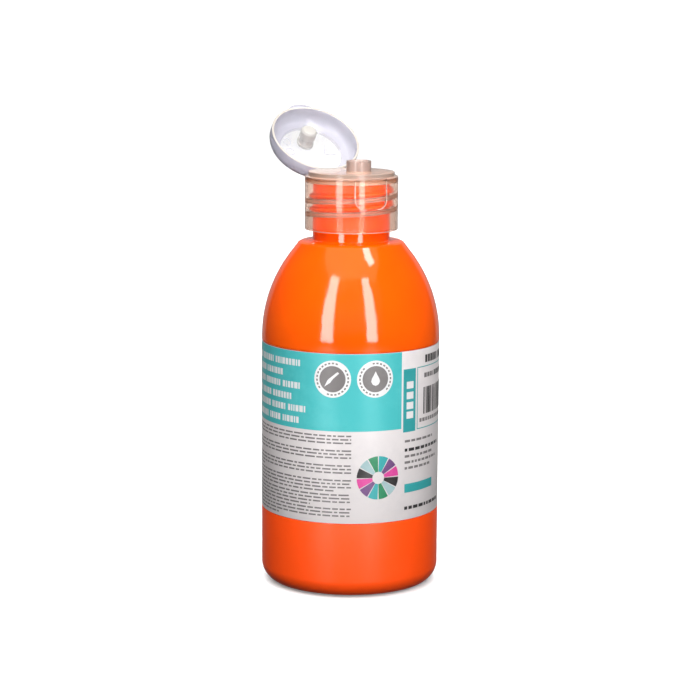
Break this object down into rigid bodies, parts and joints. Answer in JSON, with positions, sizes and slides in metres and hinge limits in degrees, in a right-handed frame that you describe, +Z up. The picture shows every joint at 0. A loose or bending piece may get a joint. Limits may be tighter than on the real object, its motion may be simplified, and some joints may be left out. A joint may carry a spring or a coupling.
{
  "type": "paint bottle",
  "caption": "Round-shouldered squeeze bottle of orange paint with a wrap label and a screw-on flip-top spout closure, lid open.",
  "frame": {"origin": "centre of the flat pad of the base, on the bottle's axis, at the height of the table", "axes": "+Z up along the bottle's axis; -Y to the front, where the closure's thumb recess and spout are; +Y to the lid's hinge; +X to the right seen from the front"},
  "size_m": [0.0584, 0.071, 0.156],
  "materials": {
    "bottle_plastic": "glossy orange blow-moulded plastic",
    "paint": "wet opaque orange paint",
    "label_film": "satin printed film",
    "washer_foam": "matt white foam",
    "closure_plastic": "translucent natural polypropylene"
  },
  "bodies": {
    "bottle": {"bottle": "bottle_plastic", "paint": "paint", "label": "label_film"},
    "washer": {"sealing_washer": "washer_foam"},
    "closure": {"closure_body": "closure_plastic", "living_hinge": "closure_plastic"},
    "lid": {"lid": "closure_plastic"}
  },
  "joints": [
    {"name": "closure_lift", "type": "slide", "parent": "bottle", "child": "washer", "axis": [0, 0, 1], "range_m": [0, 0.01695]},
    {"name": "closure_turn", "type": "hinge", "parent": "washer", "child": "closure", "pos_m": [0, 0, 0.117], "axis": [0, 0, 1], "range_deg": [0, 1440]},
    {"name": "lid_hinge", "type": "hinge", "parent": "closure", "child": "lid", "pos_m": [0, 0.01544, 0.1353], "axis": [-1, 0, 0], "range_deg": [-140.5, 35]}
  ],
  "couplings": [
    {"joint": "closure_lift", "follows": "closure_turn", "m_per_rad": 0.0006737}
  ]
}
